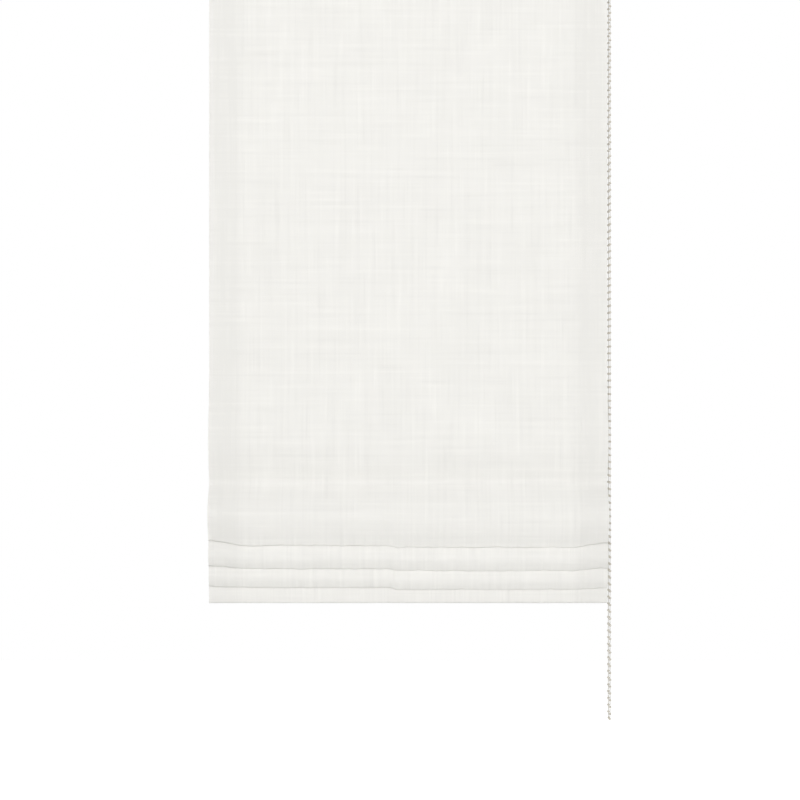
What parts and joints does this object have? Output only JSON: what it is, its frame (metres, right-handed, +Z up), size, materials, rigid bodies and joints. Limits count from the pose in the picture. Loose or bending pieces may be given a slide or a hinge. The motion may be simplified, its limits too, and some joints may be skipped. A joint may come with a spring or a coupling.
{
  "type": "roman blind",
  "caption": "Part-raised fabric window blind on a clip-in head rail, its cloth gathered in hanging loops over hidden rods and lift cords, worked by an endless bead chain.",
  "frame": {"origin": "middle of the four ceiling screws, on the brackets' top face", "axes": "+X to the right seen from the room, -Y out into the room, +Z up"},
  "size_m": [0.713, 0.0633, 1.3219],
  "materials": {
    "rail_aluminium": "satin",
    "bar_aluminium": "satin",
    "bracket_steel": "satin",
    "shaft_steel": "satin",
    "spring_steel": "satin",
    "white_plastic": "satin",
    "wheel_plastic": "satin",
    "white_tape": "matte",
    "linen": "matte",
    "chain_plastic": "gloss",
    "chain_string": "matte",
    "lift_cord": "matte",
    "glass_fibre": "satin",
    "pocket_tape": "matte",
    "clear_plastic": "gloss"
  },
  "bodies": {
    "headrail": {"head_rail": "rail_aluminium", "end_cap_left": "white_plastic", "control_housing": "white_plastic", "control_cover": "white_plastic", "bracket_left": "bracket_steel", "bracket_right": "bracket_steel", "hook_tape": "white_tape", "loop_tape": "white_tape", "cloth": "linen", "chain_loop": "chain_plastic", "chain_wrap": "chain_string", "drum_cradle_left": "white_plastic", "drum_cradle_middle": "white_plastic", "drum_cradle_right": "white_plastic", "lift_cord_left": "lift_cord", "lift_cord_middle": "lift_cord", "lift_cord_right": "lift_cord"},
    "brake": {"brake_spring": "spring_steel"},
    "drive": {"drive_shaft": "shaft_steel", "chain_wheel": "wheel_plastic", "shaft_bush": "wheel_plastic", "cord_drum_left": "wheel_plastic", "cord_drum_middle": "wheel_plastic", "cord_drum_right": "wheel_plastic"},
    "rod_1_set": {"rod_1": "glass_fibre", "pocket_tape_1": "pocket_tape", "cord_rings_1": "clear_plastic", "cord_locks": "white_plastic", "bottom_bar": "bar_aluminium", "bottom_cap_left": "white_plastic", "bottom_cap_right": "white_plastic"},
    "rod_2_set": {"rod_2": "glass_fibre", "pocket_tape_2": "pocket_tape", "cord_rings_2": "clear_plastic"},
    "rod_3_set": {"rod_3": "glass_fibre", "pocket_tape_3": "pocket_tape", "cord_rings_3": "clear_plastic"},
    "rod_4_set": {"rod_4": "glass_fibre", "pocket_tape_4": "pocket_tape", "cord_rings_4": "clear_plastic"},
    "rod_5_set": {"rod_5": "glass_fibre", "pocket_tape_5": "pocket_tape", "cord_rings_5": "clear_plastic"},
    "rod_6_set": {"rod_6": "glass_fibre", "pocket_tape_6": "pocket_tape", "cord_rings_6": "clear_plastic"},
    "rod_7_set": {"rod_7": "glass_fibre", "pocket_tape_7": "pocket_tape", "cord_rings_7": "clear_plastic"}
  },
  "joints": [
    {"name": "raise", "type": "slide", "parent": "headrail", "child": "rod_4_set", "axis": [0, 0, 1], "range_m": [0, 0.7255], "deforming": ["cloth", "lift_cord_left", "lift_cord_middle", "lift_cord_right"]},
    {"name": "raise_rod_5", "type": "slide", "parent": "headrail", "child": "rod_5_set", "axis": [0, 0, 1], "range_m": [0, 0.5649]},
    {"name": "raise_rod_6", "type": "slide", "parent": "headrail", "child": "rod_6_set", "axis": [0, 0, 1], "range_m": [0, 0.4033]},
    {"name": "raise_rod_7", "type": "slide", "parent": "headrail", "child": "rod_7_set", "axis": [0, 0, 1], "range_m": [0, 0.2418]},
    {"name": "lower", "type": "slide", "parent": "rod_4_set", "child": "rod_3_set", "axis": [0, 0, 1], "range_m": [-0.1625, 0], "deforming": ["cloth", "lift_cord_left", "lift_cord_middle", "lift_cord_right"]},
    {"name": "lower_rod_2", "type": "slide", "parent": "rod_3_set", "child": "rod_2_set", "axis": [0, 0, 1], "range_m": [-0.1635, 0.001]},
    {"name": "lower_rod_1", "type": "slide", "parent": "rod_2_set", "child": "rod_1_set", "axis": [0, 0, 1], "range_m": [-0.1635, 0.001]},
    {"name": "wind", "type": "hinge", "parent": "headrail", "child": "brake", "pos_m": [0, 0, -0.02425], "axis": [1, 0, 0], "range_deg": [-5234, 5]},
    {"name": "unwind", "type": "hinge", "parent": "brake", "child": "drive", "pos_m": [0, 0, -0.02425], "axis": [1, 0, 0], "range_deg": [-5, 3518]}
  ],
  "couplings": [
    {"joint": "raise_rod_5", "follows": "raise", "ratio": 0.77728},
    {"joint": "raise_rod_6", "follows": "raise", "ratio": 0.55457},
    {"joint": "raise_rod_7", "follows": "raise", "ratio": 0.33185},
    {"joint": "lower_rod_2", "follows": "lower", "ratio": 1},
    {"joint": "lower_rod_1", "follows": "lower", "ratio": 1},
    {"joint": "wind", "follows": "raise", "rad_per_m": -125.79},
    {"joint": "unwind", "follows": "lower", "rad_per_m": -377.36}
  ]
}
